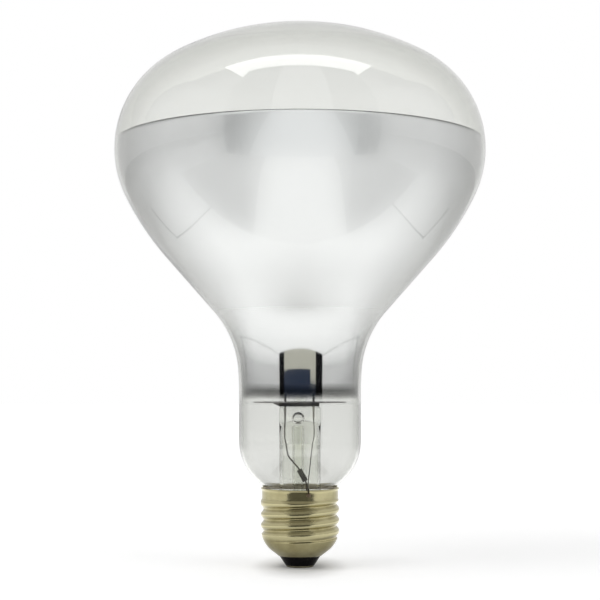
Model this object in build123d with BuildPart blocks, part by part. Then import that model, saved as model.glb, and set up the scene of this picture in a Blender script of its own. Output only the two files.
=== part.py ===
from build123d import *
from math import acos, asin, atan2, cos, degrees, hypot, radians, sin, tan
import os

os.makedirs("parts", exist_ok=True)

# Driving dimensions in millimetres. The origin is the middle of the centre contact's
# lower face, +Z runs up the axis of the lamp and -Y is the front. A rise, drop, gap, step
# or depth is measured from the piece that it seats on or fits.

# Contact and insulator at the foot of the cap
contact_radius = 4.7
contact_thickness = 0.6
contact_dish_depth = 0.2
contact_dish_radius = 3.6
eyelet_radius = 1.7
eyelet_wall = 0.4
eyelet_flange_width = 0.8
eyelet_flange_thickness = 0.3
eyelet_flange_gap = 0.3
insulator_foot_step = 0.25
insulator_height = 3.27
insulator_floor_rise = 1.23
insulator_rim_rise = 1.3
insulator_dish_step = 1.2
solder_edge_gap = 0.2
solder_edge_width = 0.4
solder_edge_rise = 0.05
solder_depth = 1.3

# Screw cap: rolled brass sheet, right-hand round thread
cap_wall = 0.25
cap_hole_radius = 7.1
cap_cone_angle = 37.0
cap_bottom_radius = 9.0
cap_shoulder_radius = 1.0
thread_crest_radius = 13.0
thread_depth = 0.9
thread_pitch = 3.629
thread_flank_angle = 40.2
thread_turns = 4
thread_run_out = 0.25
thread_start_rise = 2.7
thread_top_land = 5.46
crest_trim_angle = 14.0
skirt_step = 0.4
skirt_length = 2.4
lip_bell_radius = 1.4
lip_bell_turn = 50.0
cement_depth = 3.85
cement_rim_gap = 0.45

# Blown bulb, outer surface
bulb_radius = 63.14
neck_radius = 20.64
neck_length = 13.98
seal_gap = 0.89
seal_tube_length = 6.55
throat_drop = 2.0
throat_fillet = 2.2
heel_radius = 18.85
neck_sweep_radius = 143.0
neck_sweep_turn = 3.86
waist_radius = 33.7
flank_angle = 41.53
bowl_lower_radius = 95.0
bowl_upper_radius = 35.6
bowl_upper_turn = 26.12
shoulder_radius = 35.08
face_radius = 92.9
glass_wall = 0.9

# Metal film inside the bowl, from above the straight neck to above the widest part
film_thickness = 0.1
film_foot_rise = 0.76
film_top_rise = 2.5

# Glass stem: a flared tube pinched flat round the lead wires
stem_radius = 6.95
stem_wall = 0.9
stem_length = 23.0
pinch_length = 8.2
press_length = 4.3
press_width = 14.0
press_thickness = 4.2
press_cavity_drop = 0.9
press_cavity_wall = 1.3
press_end_flat = 0.4
press_edge_fillet = 0.7

# Exhaust tube, tipped off inside the cap
exhaust_radius = 2.0
exhaust_wall = 0.8
exhaust_x = -0.6
exhaust_tip_drop = 4.4
exhaust_seat_rise = 6.0
exhaust_bubble_radius = 2.2
exhaust_bubble_rise = 0.4
exhaust_bubble_offset = 0.5

# Lead wires
inner_lead_radius = 0.4
seal_wire_radius = 0.3
outer_lead_radius = 0.25
side_lead_radius = 0.17
left_lead_x = -5.0
right_lead_x = 4.6
inner_lead_depth = 1.5
seal_wire_rise = 0.5
wire_clearance = 0.02
inner_lead_straight = 14.0
inner_lead_drop = 11.0
inner_lead_low_bend = 20.0
inner_lead_high_bend = 12.0
hook_bend_share = 0.95

# Centre lead and its fuse sleeve: sideways place and height above the seal of each corner
fuse_radius = 0.9
fuse_gap = 0.7
fuse_margin = 0.12
fuse_end_fillet = 0.3
centre_lead_straight = 7.1
centre_lead_shoulder = (-3.8, 19.0)
fuse_upper = (-0.6, 15.3)
fuse_lower = (2.1, 10.2)
centre_lead_foot = (2.4, -1.0)
centre_lead_entry_rise = 3.2
centre_lead_tip_rise = 0.4
centre_lead_bends = [3.5, 3.0, 1.6, 3.0, 6.0, 3.0]

# Side lead: down the stem, out under the flare and over the rim of the cap
side_lead_azimuth = -77.4
side_lead_straight = 5.7
side_lead_shoulder = (3.9, 0.4, 20.0)
side_lead_waist = (2.8, 0.8, 10.0)
side_lead_foot_radius = 4.0
side_lead_foot_drop = 2.5
side_lead_skirt_drop = 1.0
side_lead_bell_drop = 1.1
side_lead_over = 0.3
side_lead_rim_drops = (0.15, 0.85)
side_weld_radius = 0.8
side_weld_drop = 1.85
side_weld_rise = 0.1

# Mount above the stem
arbor_radius = 1.8
arbor_button_radius = 3.2
arbor_button_drop = 13.5
arbor_button_half = 2.0
support_socket_depth = 1.2
support_wire_radius = 0.2
support_count = 5
support_knee_radius = 6.3
support_knee_bend = 3.0
support_foot_rise = 3.0
support_foot_bend = 2.0
filament_radius = 0.6
filament_ring_radius = 14.0
filament_rise = 58.5
filament_span = 300.0
lead_hook_inset = 4.0

# Heat shield in the neck
shield_radius = 15.75
shield_thickness = 0.25
shield_rise = 1.5
shield_clear_radius = 1.1
strap_tail = 4.0
strap_taper = 1.8
strap_end = 1.9
strap_width = 5.2
strap_drop = 1.3

# Heights and radii of the cap, worked out from its driving dimensions
cap_hole_height = contact_thickness + insulator_height
insulator_foot_radius = contact_radius + insulator_foot_step
insulator_floor_height = cap_hole_height + insulator_floor_rise
insulator_fill_height = insulator_floor_height + insulator_rim_rise
eyelet_bore_radius = eyelet_radius - eyelet_wall
eyelet_flange_radius = eyelet_radius + eyelet_flange_width
flank_slope = tan(radians(thread_flank_angle))
flank_fall = 1 - cos(radians(thread_flank_angle))
thread_arc_radius = (thread_pitch / 2 - thread_depth / flank_slope) / (
    2 * (sin(radians(thread_flank_angle)) - flank_fall / flank_slope)
)
thread_root_radius = thread_crest_radius - thread_depth
thread_start_height = cap_hole_height + thread_start_rise
rim_height = thread_start_height + thread_turns * thread_pitch + thread_top_land
skirt_radius = thread_crest_radius - skirt_step
lip_rise = (lip_bell_radius + cap_wall) * sin(radians(lip_bell_turn))
lip_height = rim_height - lip_rise
lip_radius = skirt_radius + lip_bell_radius * (1 - cos(radians(lip_bell_turn)))
cap_shoulder_turn = degrees(acos(1 - skirt_step / (2 * cap_shoulder_radius)))
cap_shoulder_rise = 2 * cap_shoulder_radius * sin(radians(cap_shoulder_turn))
cement_low = rim_height - cement_depth
cement_high = rim_height - cement_rim_gap

# Heights, radii and turns of the bulb
throat_height = rim_height - throat_drop
seal_height = throat_height - seal_tube_length
seal_radius = thread_root_radius - cap_wall - seal_gap
heel_turn = degrees(acos(1 - (neck_radius - seal_radius) / (heel_radius + throat_fillet)))
waist_turn = flank_angle - neck_sweep_turn
bowl_lower_turn = flank_angle - bowl_upper_turn
shoulder_turn = degrees(acos((bulb_radius - shoulder_radius) / (face_radius - shoulder_radius)))
flank_reach = (
    bulb_radius
    - neck_radius
    - neck_sweep_radius * (1 - cos(radians(neck_sweep_turn)))
    - waist_radius * (cos(radians(neck_sweep_turn)) - cos(radians(flank_angle)))
    - bowl_lower_radius * (cos(radians(bowl_upper_turn)) - cos(radians(flank_angle)))
    - bowl_upper_radius * (1 - cos(radians(bowl_upper_turn)))
)
flank_length = flank_reach / sin(radians(flank_angle))
neck_top = throat_height + (heel_radius + throat_fillet) * sin(radians(heel_turn)) + neck_length
widest_height = (
    neck_top
    + neck_sweep_radius * sin(radians(neck_sweep_turn))
    + waist_radius * (sin(radians(flank_angle)) - sin(radians(neck_sweep_turn)))
    + flank_length * cos(radians(flank_angle))
    + bowl_lower_radius * (sin(radians(flank_angle)) - sin(radians(bowl_upper_turn)))
    + bowl_upper_radius * sin(radians(bowl_upper_turn))
)
film_low = neck_top + film_foot_rise
film_high = widest_height + film_top_rise

# Heights of the stem and of what it carries
pinch_start_height = seal_height + stem_length
press_low = pinch_start_height + pinch_length
press_high = press_low + press_length
press_cavity_top = press_low - press_cavity_drop
press_cavity_width = press_width - 2 * press_cavity_wall
press_cavity_thickness = press_thickness - 2 * press_cavity_wall
press_corner_radius = (press_thickness - press_end_flat) / 2
exhaust_bore_radius = exhaust_radius - exhaust_wall
exhaust_tip_height = seal_height - exhaust_tip_drop
exhaust_seat_height = pinch_start_height + exhaust_seat_rise
exhaust_bubble_height = press_low + exhaust_bubble_rise
inner_lead_foot = press_high - inner_lead_depth
seal_wire_foot = press_low + seal_wire_rise
shield_height = press_high + shield_rise
strap_left = left_lead_x - strap_tail
strap_taper_x = left_lead_x - strap_taper
strap_right = right_lead_x + strap_end
filament_height = press_high + filament_rise
arbor_button_height = filament_height - arbor_button_drop
lead_plane_y = -(exhaust_radius + fuse_radius + fuse_gap)


def radial_plane(azimuth):
    """Upright plane through the axis: local x runs outwards at the azimuth, local y is up."""
    a = radians(azimuth)
    return Plane(origin=(0, 0, 0), x_dir=(cos(a), sin(a), 0), z_dir=(sin(a), -cos(a), 0))


def radial_point(radius, azimuth, height):
    """Point at a radius from the axis, an azimuth and a height."""
    return (radius * cos(radians(azimuth)), radius * sin(radians(azimuth)), height)


def bulb_line(inset):
    """Half section of the bulb from the seal up to the pole, all arcs tangent.

    The inset moves the line into the glass, so that 0 is the outer surface.
    """
    seal = Line((seal_radius - inset, seal_height), (seal_radius - inset, throat_height))
    throat = JernArc(seal @ 1, (0, 1), throat_fillet + inset, -heel_turn)
    heel = JernArc(throat @ 1, throat % 1, heel_radius - inset, heel_turn)
    neck = Line(heel @ 1, heel @ 1 + (0, neck_length))
    sweep_out = JernArc(neck @ 1, (0, 1), neck_sweep_radius + inset, -neck_sweep_turn)
    waist = JernArc(sweep_out @ 1, sweep_out % 1, waist_radius + inset, -waist_turn)
    flank = Line(waist @ 1, waist @ 1 + (waist % 1) * flank_length)
    bowl_low = JernArc(flank @ 1, waist % 1, bowl_lower_radius - inset, bowl_lower_turn)
    bowl_up = JernArc(bowl_low @ 1, bowl_low % 1, bowl_upper_radius - inset, bowl_upper_turn)
    shoulder = JernArc(bowl_up @ 1, (0, 1), shoulder_radius - inset, shoulder_turn)
    face = JernArc(shoulder @ 1, shoulder % 1, face_radius - inset, 90 - shoulder_turn)
    return seal @ 0, face @ 1


def cap_line(inset):
    """Half section of the cap without its thread, from the hole up to the rim."""
    out_x = cos(radians(cap_cone_angle))
    up_z = sin(radians(cap_cone_angle))
    arc_reach = cap_bottom_radius * (1 - up_z)
    cone_length = (thread_crest_radius - arc_reach - cap_hole_radius) / out_x
    start = (cap_hole_radius - inset * up_z, cap_hole_height + inset * out_x)
    cone = PolarLine(start, cone_length, cap_cone_angle)
    bottom = JernArc(cone @ 1, cone % 1, cap_bottom_radius - inset, 90 - cap_cone_angle)
    step_low = lip_height - skirt_length - cap_shoulder_rise
    barrel = Line(bottom @ 1, (thread_crest_radius - inset, step_low))
    turn_in = JernArc(barrel @ 1, (0, 1), cap_shoulder_radius - inset, cap_shoulder_turn)
    turn_up = JernArc(turn_in @ 1, turn_in % 1, cap_shoulder_radius + inset, -cap_shoulder_turn)
    skirt = Line(turn_up @ 1, turn_up @ 1 + (0, skirt_length))
    lip = JernArc(skirt @ 1, (0, 1), lip_bell_radius + inset, -lip_bell_turn)
    return cone @ 0, lip @ 1


def close_to_axis(low, high):
    """Close a half section with level lines to the axis and a line along it."""
    Line(low, (0, low.Y))
    Line((0, low.Y), (0, high.Y))
    Line((0, high.Y), high)


def thread_groove(inset):
    """Round groove of the rolled thread, swept up the cap and run out at its upper end.

    On the inside of the sheet the root arc grows and the crest arc shrinks by the wall,
    so that the wall keeps its thickness.
    """
    root_arc = thread_arc_radius + inset
    crest_arc = thread_arc_radius - inset
    depth = thread_crest_radius - thread_root_radius
    half_pitch = thread_pitch / 2
    centre_rise = depth - root_arc - crest_arc
    spread = hypot(half_pitch, centre_rise)
    flank = asin((root_arc + crest_arc) / spread) - atan2(-centre_rise, half_pitch)
    overshoot = skirt_step + cap_wall

    def on_root(angle):
        return (root_arc - root_arc * cos(angle), root_arc * sin(angle))

    def on_crest(angle, side):
        x = depth - crest_arc + crest_arc * cos(angle)
        return (x, side * (half_pitch - crest_arc * sin(angle)))

    def groove_section(path, along, shift):
        place = path @ along
        outward = Vector(place.X, place.Y, 0).normalized()
        plane = Plane(origin=place + outward * shift, x_dir=outward, z_dir=path % along)
        with BuildSketch(plane) as section:
            with BuildLine():
                ThreePointArc(on_root(-flank), (0, 0), on_root(flank))
                for side in (1, -1):
                    stop = on_crest(crest_stop, side)
                    Line(on_root(side * flank), on_crest(flank, side))
                    middle = on_crest((flank + crest_stop) / 2, side)
                    ThreePointArc(on_crest(flank, side), middle, stop)
                    Line(stop, (depth + overshoot, stop[1]))
                high = on_crest(crest_stop, 1)[1]
                Line((depth + overshoot, high), (depth + overshoot, -high))
            make_face()
        return section.sketch

    def rise(turns, start_height):
        return Helix(
            pitch=thread_pitch,
            height=thread_pitch * turns,
            radius=thread_root_radius - inset,
            center=(0, 0, start_height),
            mode=Mode.PRIVATE,
        )

    crest_stop = radians(crest_trim_angle)
    full = rise(thread_turns, thread_start_height)
    sweep(
        sections=groove_section(full, 0, 0),
        path=full,
        is_frenet=True,
        mode=Mode.SUBTRACT,
    )
    fade = rise(thread_run_out, thread_start_height + thread_pitch * thread_turns)
    sweep(
        sections=[groove_section(fade, 0, 0), groove_section(fade, 1, depth + cap_wall)],
        path=fade,
        multisection=True,
        is_frenet=True,
        mode=Mode.SUBTRACT,
    )


def wire(points, bends, radius, mode=Mode.ADD):
    """Round wire: each straight run is extruded and each bend turned about its own centre."""
    with BuildLine(mode=Mode.PRIVATE) as route:
        FilletPolyline(*points, radius=bends)
    for run in route.wires()[0].edges():
        with BuildSketch(Plane(origin=run @ 0, z_dir=run % 0)) as section:
            Circle(radius)
        if run.geom_type == GeomType.LINE:
            extrude(section.sketch, amount=run.length, mode=mode)
        else:
            turn = degrees(run.length / run.radius)
            bend_axis = Axis(run.arc_center, (run % 0).cross(run % 1))
            revolve(section.sketch, axis=bend_axis, revolution_arc=turn, mode=mode)


def hook_points(azimuth, wire_radius, foot_height):
    """Corners of a hook that stands beside the filament and bends over it."""
    reach = filament_radius + wire_radius + wire_clearance
    inside = filament_ring_radius - reach
    outside = filament_ring_radius + reach
    top = filament_height + reach
    return [
        radial_point(inside, azimuth, foot_height),
        radial_point(inside, azimuth, top),
        radial_point(outside, azimuth, top),
        radial_point(outside, azimuth, filament_height - wire_radius),
    ]


# Glass envelope, blown in one piece, with its neck tube going down inside the cap

with BuildPart() as bulb_body:
    with BuildSketch(Plane.XZ):
        with BuildLine():
            bulb_low, bulb_pole = bulb_line(0)
            Line(bulb_low, (0, bulb_low.Y))
            Line((0, bulb_low.Y), bulb_pole)
        make_face()
    revolve(axis=Axis.Z)

with BuildPart() as glass_envelope:
    with BuildSketch(Plane.XZ):
        with BuildLine():
            outer_low, outer_pole = bulb_line(0)
            inner_low, inner_pole = bulb_line(glass_wall)
            Line(outer_low, inner_low)
            Line(outer_pole, inner_pole)
        make_face()
    revolve(axis=Axis.Z)

# Reflector film, laid on the inside of the bowl from the neck to just above the widest part

with BuildPart() as reflector_film:
    with BuildSketch(Plane.XZ):
        with BuildLine():
            back_low, back_pole = bulb_line(glass_wall)
            front_low, front_pole = bulb_line(glass_wall + film_thickness)
            Line(back_low, front_low)
            Line(back_pole, front_pole)
        make_face()
        with Locations((bulb_radius, (film_low + film_high) / 2)):
            Rectangle(bulb_radius * 2, film_high - film_low, mode=Mode.INTERSECT)
    revolve(axis=Axis.Z)

# Glass stem: the flare seals to the neck tube, the top is pinched into a flat press

flare_arc = seal_radius - glass_wall - stem_radius
stem_bore_radius = stem_radius - stem_wall

with BuildPart() as glass_stem:
    with BuildSketch(Plane.XZ):
        with BuildLine():
            flare_low = seal_height - stem_wall
            Polyline(
                (stem_radius, seal_height + flare_arc),
                (stem_radius, pinch_start_height),
                (0, pinch_start_height),
                (0, flare_low),
                (seal_radius, flare_low),
                (seal_radius, seal_height),
                (seal_radius - glass_wall, seal_height),
            )
            JernArc((seal_radius - glass_wall, seal_height), (-1, 0), flare_arc, -90)
        make_face()
    revolve(axis=Axis.Z)
    with BuildSketch(Plane.XY.offset(pinch_start_height)):
        Circle(stem_radius)
    with BuildSketch(Plane.XY.offset(press_low)):
        RectangleRounded(press_width, press_thickness, press_corner_radius)
    loft()
    with BuildSketch(Plane.XY.offset(press_low)):
        RectangleRounded(press_width, press_thickness, press_corner_radius)
    extrude(amount=press_high - press_low)
    fillet(glass_stem.faces().sort_by(Axis.Z)[-1].edges(), press_edge_fillet)
    with BuildSketch(Plane.XZ):
        with BuildLine():
            inner_arc = flare_arc + stem_wall
            Polyline(
                (stem_bore_radius, seal_height + flare_arc),
                (stem_bore_radius, pinch_start_height),
                (0, pinch_start_height),
                (0, flare_low),
                (seal_radius - glass_wall, flare_low),
            )
            JernArc((seal_radius - glass_wall, flare_low), (-1, 0), inner_arc, -90)
        make_face()
    revolve(axis=Axis.Z, mode=Mode.SUBTRACT)
    with BuildSketch(Plane.XY.offset(pinch_start_height)):
        Circle(stem_bore_radius)
    with BuildSketch(Plane.XY.offset(press_cavity_top)):
        Ellipse(press_cavity_width / 2, press_cavity_thickness / 2)
    loft(mode=Mode.SUBTRACT)
    with BuildSketch(Plane.XY.offset(pinch_start_height)):
        with Locations((exhaust_x, 0)):
            Circle(exhaust_radius)
    extrude(amount=exhaust_seat_height - pinch_start_height, mode=Mode.SUBTRACT)
    with BuildSketch(Plane.XY.offset(exhaust_seat_height)):
        with Locations((exhaust_x, 0)):
            Circle(exhaust_bore_radius)
    extrude(amount=exhaust_bubble_height - exhaust_seat_height, mode=Mode.SUBTRACT)
    with Locations((exhaust_x, -exhaust_bubble_offset, exhaust_bubble_height)):
        Sphere(exhaust_bubble_radius, mode=Mode.SUBTRACT)
    for lead_x in (left_lead_x, right_lead_x):
        with BuildSketch(Plane.XY.offset(inner_lead_foot)):
            with Locations((lead_x, 0)):
                Circle(inner_lead_radius)
        extrude(amount=press_high - inner_lead_foot, mode=Mode.SUBTRACT)
        with BuildSketch(Plane.XY.offset(seal_wire_foot)):
            with Locations((lead_x, 0)):
                Circle(seal_wire_radius)
        extrude(amount=inner_lead_foot - seal_wire_foot, mode=Mode.SUBTRACT)
        with BuildSketch(Plane.XY.offset(pinch_start_height)):
            with Locations((lead_x, 0)):
                Circle(outer_lead_radius)
        extrude(amount=seal_wire_foot - pinch_start_height, mode=Mode.SUBTRACT)

# Exhaust tube, drawn shut at its lower end after pumping

with BuildPart() as exhaust_tube:
    with BuildSketch(Plane.XZ.shift_origin((exhaust_x, 0, 0))):
        with BuildLine():
            dome = exhaust_tip_height + exhaust_radius
            tip = JernArc((0, exhaust_tip_height), (1, 0), exhaust_radius, 90)
            outer_side = Line(tip @ 1, (exhaust_radius, exhaust_seat_height))
            top_ring = Line(outer_side @ 1, (exhaust_bore_radius, exhaust_seat_height))
            bore_side = Line(top_ring @ 1, (exhaust_bore_radius, dome))
            inner_tip = JernArc(bore_side @ 1, (0, -1), exhaust_bore_radius, -90)
            Line(inner_tip @ 1, tip @ 0)
        make_face()
    revolve(axis=Axis((exhaust_x, 0, 0), (0, 0, 1)))

# Arbor rod with its button, into which the support wires are set

support_pitch = filament_span / (support_count + 1)
filament_start = 90 - filament_span / 2
support_azimuths = [filament_start + support_pitch * (i + 1) for i in range(support_count)]

with BuildPart() as arbor_rod:
    with BuildSketch(Plane.XZ):
        with BuildLine():
            button_low = arbor_button_height - arbor_button_half
            button_top = arbor_button_height + arbor_button_half
            Polyline(
                (0, button_top),
                (0, press_high),
                (arbor_radius, press_high),
                (arbor_radius, button_low - arbor_button_half),
            )
            Spline(
                (arbor_radius, button_low - arbor_button_half),
                (arbor_button_radius, arbor_button_height),
                (0, button_top),
                tangents=[(0, 1), (0, 1), (-1, 0)],
            )
        make_face()
    revolve(axis=Axis.Z)
    for azimuth in support_azimuths:
        socket = radial_point(arbor_button_radius - support_socket_depth, azimuth, arbor_button_height)
        with BuildSketch(Plane(origin=socket, z_dir=radial_point(1, azimuth, 0))):
            Circle(support_wire_radius)
        extrude(amount=arbor_button_radius, mode=Mode.SUBTRACT)

# Support wires: each runs from the button to the ring and hooks over the filament

support_wires = []
for azimuth in support_azimuths:
    inside, top_in, top_out, tip_out = hook_points(
        azimuth, support_wire_radius, arbor_button_height + support_foot_rise
    )
    root = radial_point(arbor_button_radius - support_socket_depth, azimuth, arbor_button_height)
    knee = radial_point(support_knee_radius, azimuth, arbor_button_height)
    hook_bend = hook_bend_share * (filament_radius + support_wire_radius + wire_clearance)
    with BuildPart() as support_wire:
        wire(
            [root, knee, inside, top_in, top_out, tip_out],
            [support_knee_bend, support_foot_bend, hook_bend, hook_bend],
            support_wire_radius,
        )
    support_wires.append(support_wire)

# Filament: the coil's outer form as one round arc about the axis

with BuildPart() as filament:
    with BuildSketch(radial_plane(filament_start)):
        with Locations((filament_ring_radius, filament_height)):
            Circle(filament_radius)
    revolve(axis=Axis.Z, revolution_arc=filament_span)

# Lead wires inside the vacuum, from the press up to the ends of the filament

left_azimuth = filament_start + filament_span - lead_hook_inset
right_azimuth = filament_start + lead_hook_inset
lead_hook_bend = hook_bend_share * (filament_radius + inner_lead_radius + wire_clearance)
inner_lead_knee = inner_lead_foot + inner_lead_straight

inner_leads = {}
for side, lead_x, azimuth in (
    ("left", left_lead_x, left_azimuth),
    ("right", right_lead_x, right_azimuth),
):
    inside, top_in, top_out, tip_out = hook_points(
        azimuth, inner_lead_radius, filament_height - inner_lead_drop
    )
    foot = (lead_x, 0, inner_lead_foot)
    knee = (lead_x, 0, inner_lead_knee)
    with BuildPart() as inner_lead:
        wire(
            [foot, knee, inside, top_in, top_out, tip_out],
            [inner_lead_low_bend, inner_lead_high_bend, lead_hook_bend, lead_hook_bend],
            inner_lead_radius,
        )
    inner_leads[side] = inner_lead

# Seal wires, the short copper-clad lengths that the press is pinched on

seal_wires = {}
for side, lead_x in (("left", left_lead_x), ("right", right_lead_x)):
    with BuildPart() as seal_wire:
        with BuildSketch(Plane.XY.offset(seal_wire_foot)):
            with Locations((lead_x, 0)):
                Circle(seal_wire_radius)
        extrude(amount=inner_lead_foot - seal_wire_foot)
    seal_wires[side] = seal_wire

# Centre lead: down the stem in front of the exhaust tube, through the fuse sleeve and the
# eyelet to the centre contact

centre_lead_end = contact_dish_depth + centre_lead_tip_rise


def in_front(place):
    """Point in the plane in front of the exhaust tube, from its x and its height above the seal."""
    return (place[0], lead_plane_y, seal_height + place[1])


centre_lead_points = [
    (left_lead_x, 0, seal_wire_foot),
    (left_lead_x, 0, seal_wire_foot - centre_lead_straight),
    in_front(centre_lead_shoulder),
    in_front(fuse_upper),
    in_front(fuse_lower),
    in_front(centre_lead_foot),
    (0, 0, insulator_fill_height + centre_lead_entry_rise),
    (0, 0, centre_lead_end),
]

with BuildPart() as centre_lead:
    wire(centre_lead_points, centre_lead_bends, outer_lead_radius)

# Fuse sleeve, a short glass tube round the straight run of the centre lead

fuse_axis = Vector(*in_front(fuse_lower)) - Vector(*in_front(fuse_upper))
fuse_top = Vector(*in_front(fuse_upper)) + fuse_axis * fuse_margin

with BuildPart() as fuse_sleeve:
    with BuildSketch(Plane(origin=fuse_top, z_dir=fuse_axis)):
        Circle(fuse_radius)
        Circle(outer_lead_radius, mode=Mode.SUBTRACT)
    extrude(amount=fuse_axis.length * (1 - 2 * fuse_margin))
    fuse_rims = fuse_sleeve.edges().filter_by(GeomType.CIRCLE).sort_by(SortBy.RADIUS)[-2:]
    fillet(fuse_rims, fuse_end_fillet)

# Side lead: down the stem, out under the flare and up over the rim of the cap

side_gap_radius = (seal_radius + thread_root_radius - cap_wall) / 2
bell_centre_radius = skirt_radius + lip_bell_radius
bell_run = lip_bell_radius + cap_wall + side_lead_radius + wire_clearance
bell_turn = radians(lip_bell_turn)
side_lead_low = seal_height - stem_wall - side_lead_foot_drop
side_lead_outside = lip_radius + side_lead_radius + 3 * wire_clearance


def at_rim(radius, height):
    """Point in the upright plane in which the side lead leaves the cap."""
    return radial_point(radius, side_lead_azimuth, height)


def above_seal(place):
    """Point given by its x, y and height above the seal."""
    return (place[0], place[1], seal_height + place[2])


side_lead_points = [
    (right_lead_x, 0, seal_wire_foot),
    (right_lead_x, 0, seal_wire_foot - side_lead_straight),
    above_seal(side_lead_shoulder),
    above_seal(side_lead_waist),
    at_rim(side_lead_foot_radius, side_lead_low),
    at_rim(side_gap_radius, side_lead_low),
    at_rim(side_gap_radius, lip_height - skirt_length - side_lead_skirt_drop),
    at_rim(bell_centre_radius - bell_run, lip_height - side_lead_bell_drop),
    at_rim(bell_centre_radius - bell_run, lip_height + bell_run * tan(bell_turn / 2)),
    at_rim(
        bell_centre_radius - bell_run * cos(bell_turn) + side_lead_over * sin(bell_turn),
        lip_height + bell_run * sin(bell_turn) + side_lead_over * cos(bell_turn),
    ),
    at_rim(side_lead_outside, rim_height - side_lead_rim_drops[0]),
    at_rim(side_lead_outside, rim_height - side_lead_rim_drops[1]),
    at_rim(skirt_radius + side_lead_radius + wire_clearance, rim_height - side_weld_drop),
]
side_lead_bends = [6.0, 6.0, 6.0, 1.5, 0.6, 1.5, 0.8, bell_run, 0.2, 0.3, 0.5]

with BuildPart() as side_lead:
    wire(side_lead_points, side_lead_bends, side_lead_radius)

# Side weld, the nugget that joins the side lead to the skirt of the cap

with BuildPart() as side_weld:
    with Locations(at_rim(skirt_radius + side_weld_rise, rim_height - side_weld_drop)):
        Sphere(side_weld_radius)
    with BuildSketch(Plane.XZ):
        with BuildLine():
            skin_low, skin_high = cap_line(0)
            close_to_axis(skin_low, skin_high)
        make_face()
    revolve(axis=Axis.Z, mode=Mode.SUBTRACT)
    wire(side_lead_points, side_lead_bends, side_lead_radius, mode=Mode.SUBTRACT)

# Heat shield and the strap that carries it on the left lead

with BuildPart() as heat_shield:
    with BuildSketch(Plane.XY.offset(shield_height)):
        Circle(shield_radius)
        Circle(arbor_radius + wire_clearance, mode=Mode.SUBTRACT)
        with Locations((left_lead_x, 0)):
            Circle(inner_lead_radius, mode=Mode.SUBTRACT)
        with Locations((right_lead_x, 0)):
            Circle(shield_clear_radius, mode=Mode.SUBTRACT)
    extrude(amount=shield_thickness)

strap_top = shield_height - shield_thickness
strap_low = shield_height - strap_drop

with BuildPart() as shield_strap:
    with BuildSketch(Plane.XY.offset(strap_top)):
        with Locations(((strap_left + strap_right) / 2, 0)):
            Rectangle(strap_right - strap_left, strap_width)
    extrude(amount=shield_thickness)
    for flange_y in (-strap_width / 2 + shield_thickness, strap_width / 2):
        with BuildSketch(Plane.XZ.offset(-flange_y)):
            with BuildLine():
                Polyline(
                    (strap_left, strap_top),
                    (strap_right, strap_top),
                    (strap_right, strap_low),
                    (strap_taper_x, strap_low),
                    (strap_left, strap_top),
                )
            make_face()
        extrude(amount=shield_thickness)
    with BuildSketch(Plane.XY.offset(shield_height - strap_drop)):
        Circle(arbor_radius + wire_clearance)
        with Locations((left_lead_x, 0)):
            Circle(inner_lead_radius)
        with Locations((right_lead_x, 0)):
            Circle(shield_clear_radius)
    extrude(amount=strap_drop, mode=Mode.SUBTRACT)

# Cap shell: one sheet of brass, drawn to a cup, rolled with the thread and belled at the rim

with BuildPart() as cap_cavity:
    with BuildSketch(Plane.XZ):
        with BuildLine():
            cavity_low, cavity_high = cap_line(cap_wall)
            close_to_axis(cavity_low, cavity_high)
        make_face()
    revolve(axis=Axis.Z)
    thread_groove(cap_wall)

with BuildPart() as cap_shell:
    with BuildSketch(Plane.XZ):
        with BuildLine():
            shell_low, shell_high = cap_line(0)
            Line(shell_low, cavity_low)
            Line(cavity_low, (0, cavity_low.Y))
            Line((0, cavity_low.Y), (0, cavity_high.Y))
            Line((0, cavity_high.Y), cavity_high)
            Line(cavity_high, shell_high)
        make_face()
    revolve(axis=Axis.Z)
    thread_groove(0)
    add(cap_cavity.part, mode=Mode.SUBTRACT)

# Capping cement, a ring between the neck tube and the skirt

with BuildPart() as capping_cement:
    with BuildSketch(Plane.XZ):
        with BuildLine():
            ring_low, ring_high = cap_line(cap_wall)
            close_to_axis(ring_low, ring_high)
        make_face()
        with Locations((lip_radius, (cement_low + cement_high) / 2)):
            Rectangle(lip_radius * 2, cement_high - cement_low, mode=Mode.INTERSECT)
    revolve(axis=Axis.Z)
    add(bulb_body.part, mode=Mode.SUBTRACT)
    wire(side_lead_points, side_lead_bends, side_lead_radius, mode=Mode.SUBTRACT)

# Insulator of dark glass, run into the foot of the cap round the eyelet

with BuildPart() as cap_insulator:
    with BuildSketch(Plane.XZ):
        with BuildLine():
            fill_low, fill_high = cap_line(cap_wall)
            close_to_axis(fill_low, fill_high)
        make_face()
        with Locations((thread_crest_radius, (cap_hole_height + insulator_fill_height) / 2)):
            fill_depth = insulator_fill_height - cap_hole_height
            Rectangle(thread_crest_radius * 2, fill_depth, mode=Mode.INTERSECT)
        with BuildLine():
            Polyline(
                fill_low,
                (cap_hole_radius, cap_hole_height),
                (insulator_foot_radius, contact_thickness),
                (0, contact_thickness),
                (0, fill_low.Y),
                fill_low,
            )
        make_face()
    revolve(axis=Axis.Z)
    with BuildSketch(Plane.XZ):
        with BuildLine():
            dish_radius = cap_hole_radius + insulator_dish_step
            Polyline(
                (0, insulator_fill_height + 1),
                (0, insulator_floor_height),
                (eyelet_flange_radius + eyelet_flange_gap, insulator_floor_height),
                (dish_radius, insulator_fill_height),
                (dish_radius, insulator_fill_height + 1),
                (0, insulator_fill_height + 1),
            )
        make_face()
    revolve(axis=Axis.Z, mode=Mode.SUBTRACT)
    with BuildSketch(Plane.XY):
        Circle(eyelet_radius)
    extrude(amount=insulator_fill_height, mode=Mode.SUBTRACT)

# Centre contact, an eyelet with a dished plate below and a rolled flange inside the cap

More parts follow.
